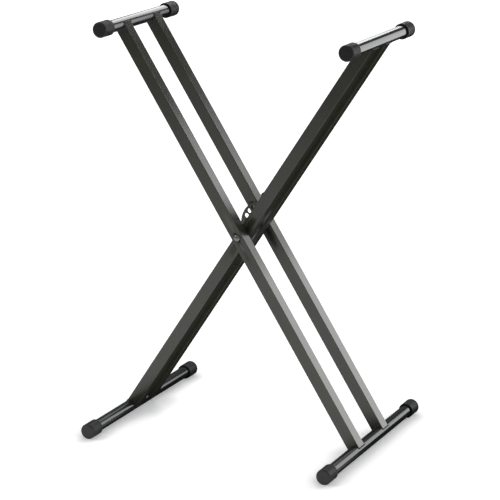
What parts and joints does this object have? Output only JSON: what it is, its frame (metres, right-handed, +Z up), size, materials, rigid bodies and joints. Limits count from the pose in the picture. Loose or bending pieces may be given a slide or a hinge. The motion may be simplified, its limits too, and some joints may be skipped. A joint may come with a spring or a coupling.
{
  "type": "keyboard stand",
  "caption": "Folding X-shaped keyboard stand of square steel tube with rubber-capped round cross bars, a half-round locking plate and a sprung locking pin at the pivot.",
  "frame": {"origin": "on the floor, below the middle of the stand, at the bottom centre of its bounding box", "axes": "+X across the stand from its left feet to its right feet, +Y along the cross bars towards the rear, where the locking plate and knob are, +Z up"},
  "size_m": [0.5658, 0.45, 0.8539],
  "materials": {
    "frame_black": "satin black powder coat",
    "bar_black": "gloss black enamel",
    "cap_rubber": "matte, finely knurled",
    "black_steel": "polished black",
    "zinc_steel": "bright zinc plate",
    "black_nylon": "matte"
  },
  "bodies": {
    "outer_frame": {"outer_leg_front": "frame_black", "outer_leg_rear": "frame_black", "outer_top_bar": "bar_black", "outer_bottom_bar": "bar_black", "outer_top_cap_front": "cap_rubber", "outer_top_cap_rear": "cap_rubber", "outer_bottom_cap_front": "cap_rubber", "outer_bottom_cap_rear": "cap_rubber", "pivot_bolt_front": "black_steel", "pivot_bolt_rear": "black_steel", "pivot_spacer_front": "black_nylon", "pivot_spacer_rear": "black_nylon", "pivot_washer_front": "zinc_steel", "pivot_washer_rear": "zinc_steel", "pivot_nut_front": "zinc_steel", "pivot_nut_rear": "zinc_steel", "plunger_housing": "zinc_steel", "plunger_spring": "zinc_steel"},
    "inner_frame": {"inner_leg_front": "frame_black", "inner_leg_rear": "frame_black", "inner_top_bar": "bar_black", "inner_bottom_bar": "bar_black", "inner_top_cap_front": "cap_rubber", "inner_top_cap_rear": "cap_rubber", "inner_bottom_cap_front": "cap_rubber", "inner_bottom_cap_rear": "cap_rubber", "locking_plate": "frame_black", "pivot_bush_front": "black_nylon", "pivot_bush_rear": "black_nylon"},
    "plunger": {"locking_pin": "zinc_steel", "pull_knob": "black_nylon"}
  },
  "joints": [
    {"name": "fold", "type": "hinge", "parent": "outer_frame", "child": "inner_frame", "pos_m": [0, 0, 0.42695], "axis": [0, 1, 0], "range_deg": [-62, 36]},
    {"name": "plunger_pull", "type": "slide", "parent": "outer_frame", "child": "plunger", "axis": [0, 1, 0], "range_m": [-0.0045, 0.004], "stiffness_N_per_m": 600, "deforming": ["plunger_spring"]}
  ]
}
